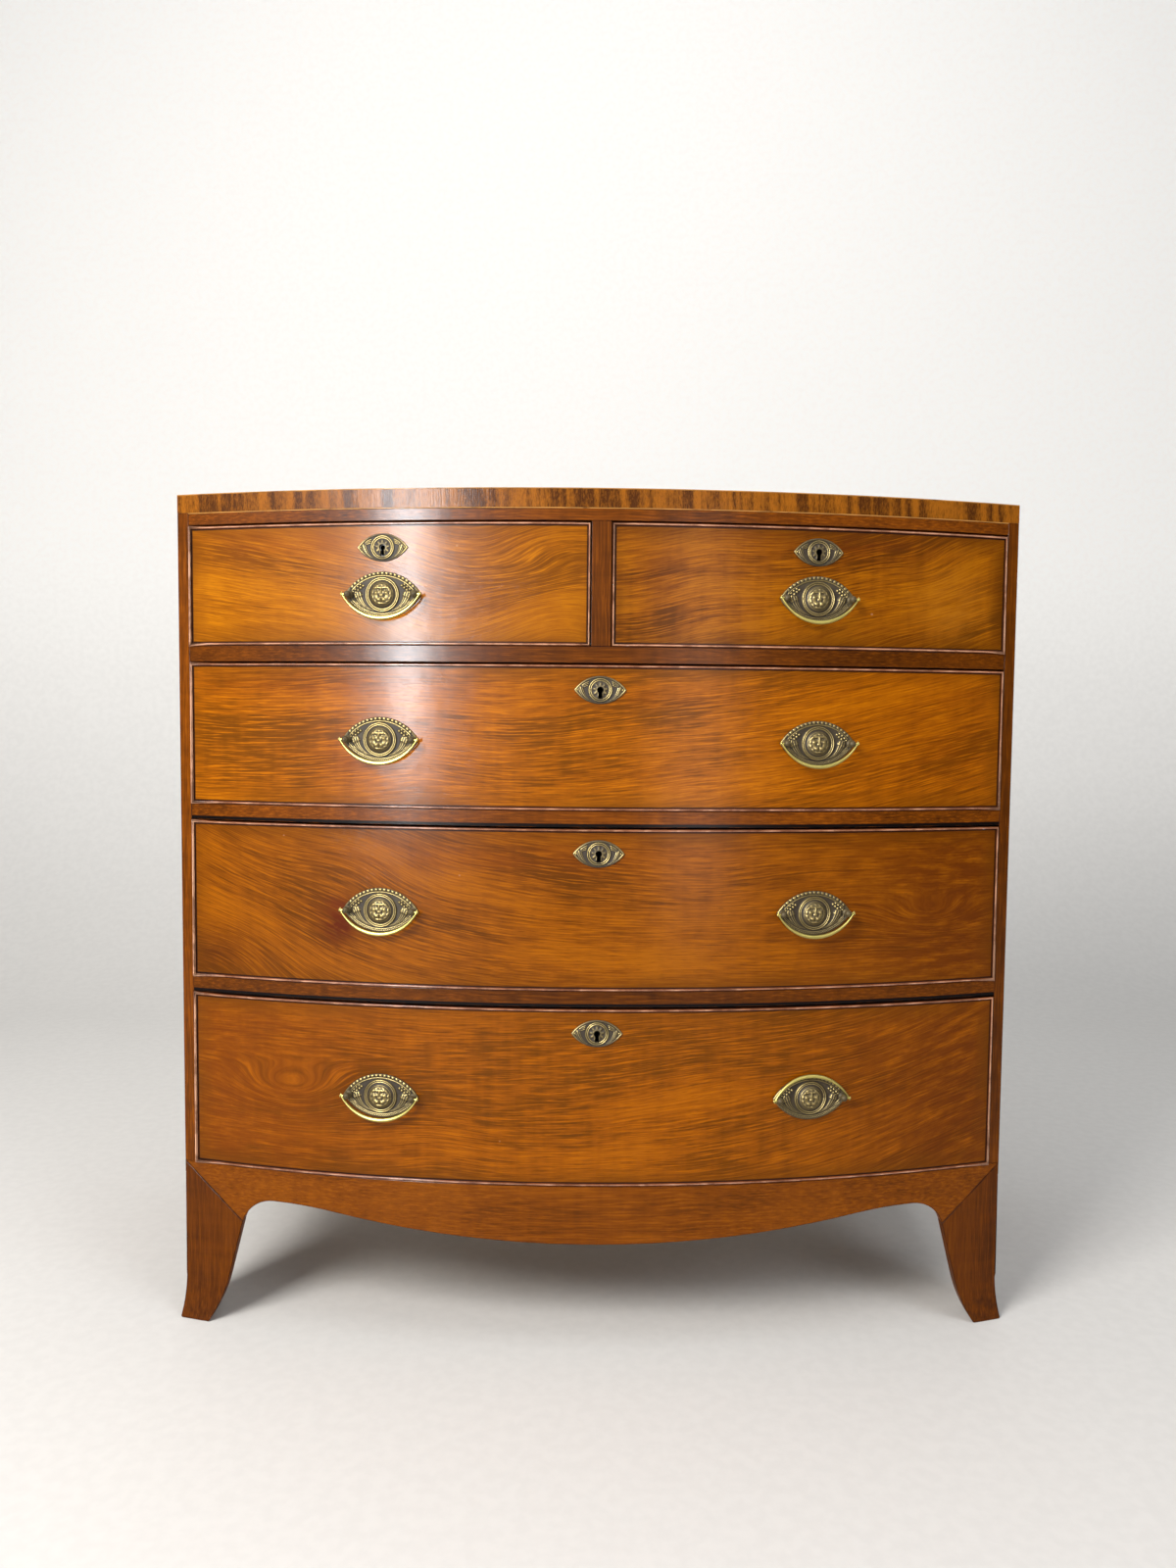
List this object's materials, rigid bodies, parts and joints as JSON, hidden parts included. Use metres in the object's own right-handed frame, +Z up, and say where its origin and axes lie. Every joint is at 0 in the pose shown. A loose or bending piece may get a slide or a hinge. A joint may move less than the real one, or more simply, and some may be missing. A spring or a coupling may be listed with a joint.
{
  "type": "bow front chest of drawers",
  "caption": "Bow front chest of short over long drawers, with a shaped apron, splayed bracket feet, cock beading, a crossbanded top edge and swinging bail handles.",
  "frame": {"origin": "on the floor, under the middle of the whole piece's width and depth", "axes": "+X to the right as seen from the front, +Y to the back, +Z up; the bowed front faces -Y"},
  "size_m": [1.074, 0.543, 1.058],
  "materials": {
    "figured_mahogany": "polished figured mahogany veneer",
    "mahogany": "polished mahogany",
    "base_mahogany": "polished mahogany, worn at the feet",
    "crossbanding": "polished mahogany, grain across the edge",
    "boxwood": "polished",
    "beading": "polished",
    "oak": "dry, unpolished",
    "pine": "dry, unpolished, darkened",
    "brass": "antique, dark in the recesses",
    "bail_brass": "antique, bright where it is held",
    "lock_brass": "dull",
    "iron": "dark"
  },
  "bodies": {
    "carcass": {"bottom_board": "pine", "lower_rail": "mahogany", "middle_rail": "mahogany", "upper_rail": "mahogany", "top_rail": "mahogany", "right_side": "mahogany", "left_side": "mahogany", "top_board": "mahogany", "top_crossbanding": "crossbanding", "stringing": "boxwood", "partition": "mahogany", "dustboards": "pine", "runners": "pine", "back_boards": "pine", "back_nails": "iron", "front_apron": "base_mahogany", "front_right_foot": "base_mahogany", "rear_right_foot": "base_mahogany", "front_left_foot": "base_mahogany", "rear_left_foot": "base_mahogany", "side_aprons": "base_mahogany", "glue_blocks": "pine"},
    "lower_long_drawer": {"lower_long_front": "figured_mahogany", "lower_long_box": "oak", "lower_long_beading": "beading", "lower_long_brasses": "brass", "lower_long_lock": "lock_brass"},
    "lower_long_bolt": {"lower_long_lock_bolt": "iron"},
    "middle_long_drawer": {"middle_long_front": "figured_mahogany", "middle_long_box": "oak", "middle_long_beading": "beading", "middle_long_brasses": "brass", "middle_long_lock": "lock_brass"},
    "middle_long_bolt": {"middle_long_lock_bolt": "iron"},
    "upper_long_drawer": {"upper_long_front": "figured_mahogany", "upper_long_box": "oak", "upper_long_beading": "beading", "upper_long_brasses": "brass", "upper_long_lock": "lock_brass"},
    "upper_long_bolt": {"upper_long_lock_bolt": "iron"},
    "left_short_drawer": {"left_short_front": "figured_mahogany", "left_short_box": "oak", "left_short_beading": "beading", "left_short_brasses": "brass", "left_short_lock": "lock_brass"},
    "left_short_bolt": {"left_short_lock_bolt": "iron"},
    "right_short_drawer": {"right_short_front": "figured_mahogany", "right_short_box": "oak", "right_short_beading": "beading", "right_short_brasses": "brass", "right_short_lock": "lock_brass"},
    "right_short_bolt": {"right_short_lock_bolt": "iron"},
    "lower_long_left_bail": {"lower_long_left_bail": "bail_brass"},
    "lower_long_right_bail": {"lower_long_right_bail": "bail_brass"},
    "middle_long_left_bail": {"middle_long_left_bail": "bail_brass"},
    "middle_long_right_bail": {"middle_long_right_bail": "bail_brass"},
    "upper_long_left_bail": {"upper_long_left_bail": "bail_brass"},
    "upper_long_right_bail": {"upper_long_right_bail": "bail_brass"},
    "left_short_bail": {"left_short_bail": "bail_brass"},
    "right_short_bail": {"right_short_bail": "bail_brass"}
  },
  "joints": [
    {"name": "lower_long_drawer_slide", "type": "slide", "parent": "carcass", "child": "lower_long_drawer", "axis": [0, -1, 0], "range_m": [0, 0.36]},
    {"name": "lower_long_bolt_throw", "type": "slide", "parent": "lower_long_drawer", "child": "lower_long_bolt", "axis": [0, 0, 1], "range_m": [0, 0.008]},
    {"name": "middle_long_drawer_slide", "type": "slide", "parent": "carcass", "child": "middle_long_drawer", "axis": [0, -1, 0], "range_m": [0, 0.36]},
    {"name": "middle_long_bolt_throw", "type": "slide", "parent": "middle_long_drawer", "child": "middle_long_bolt", "axis": [0, 0, 1], "range_m": [0, 0.008]},
    {"name": "upper_long_drawer_slide", "type": "slide", "parent": "carcass", "child": "upper_long_drawer", "axis": [0, -1, 0], "range_m": [0, 0.36]},
    {"name": "upper_long_bolt_throw", "type": "slide", "parent": "upper_long_drawer", "child": "upper_long_bolt", "axis": [0, 0, 1], "range_m": [0, 0.008]},
    {"name": "left_short_drawer_slide", "type": "slide", "parent": "carcass", "child": "left_short_drawer", "axis": [0, -1, 0], "range_m": [0, 0.36]},
    {"name": "left_short_bolt_throw", "type": "slide", "parent": "left_short_drawer", "child": "left_short_bolt", "axis": [0, 0, 1], "range_m": [0, 0.008]},
    {"name": "right_short_drawer_slide", "type": "slide", "parent": "carcass", "child": "right_short_drawer", "axis": [0, -1, 0], "range_m": [0, 0.36]},
    {"name": "right_short_bolt_throw", "type": "slide", "parent": "right_short_drawer", "child": "right_short_bolt", "axis": [0, 0, 1], "range_m": [0, 0.008]},
    {"name": "lower_long_left_bail_swing", "type": "hinge", "parent": "lower_long_drawer", "child": "lower_long_left_bail", "pos_m": [-0.26834, -0.25744, 0.3144], "axis": [-0.9889, 0.1487, 0], "range_deg": [-9, 188]},
    {"name": "lower_long_right_bail_swing", "type": "hinge", "parent": "lower_long_drawer", "child": "lower_long_right_bail", "pos_m": [0.26834, -0.25744, 0.3144], "axis": [-0.9889, -0.1487, 0], "range_deg": [-197, 0]},
    {"name": "middle_long_left_bail_swing", "type": "hinge", "parent": "middle_long_drawer", "child": "middle_long_left_bail", "pos_m": [-0.26834, -0.25744, 0.54665], "axis": [-0.9889, 0.1487, 0], "range_deg": [-9, 188]},
    {"name": "middle_long_right_bail_swing", "type": "hinge", "parent": "middle_long_drawer", "child": "middle_long_right_bail", "pos_m": [0.26834, -0.25744, 0.54665], "axis": [-0.9889, -0.1487, 0], "range_deg": [-9, 188]},
    {"name": "upper_long_left_bail_swing", "type": "hinge", "parent": "upper_long_drawer", "child": "upper_long_left_bail", "pos_m": [-0.26834, -0.25744, 0.75615], "axis": [-0.9889, 0.1487, 0], "range_deg": [-9, 188]},
    {"name": "upper_long_right_bail_swing", "type": "hinge", "parent": "upper_long_drawer", "child": "upper_long_right_bail", "pos_m": [0.26834, -0.25744, 0.75615], "axis": [-0.9889, -0.1487, 0], "range_deg": [-9, 188]},
    {"name": "left_short_bail_swing", "type": "hinge", "parent": "left_short_drawer", "child": "left_short_bail", "pos_m": [-0.26482, -0.25796, 0.93115], "axis": [-0.9892, 0.1467, 0], "range_deg": [-9, 188]},
    {"name": "right_short_bail_swing", "type": "hinge", "parent": "right_short_drawer", "child": "right_short_bail", "pos_m": [0.26482, -0.25796, 0.93115], "axis": [-0.9892, -0.1467, 0], "range_deg": [-9, 188]}
  ]
}
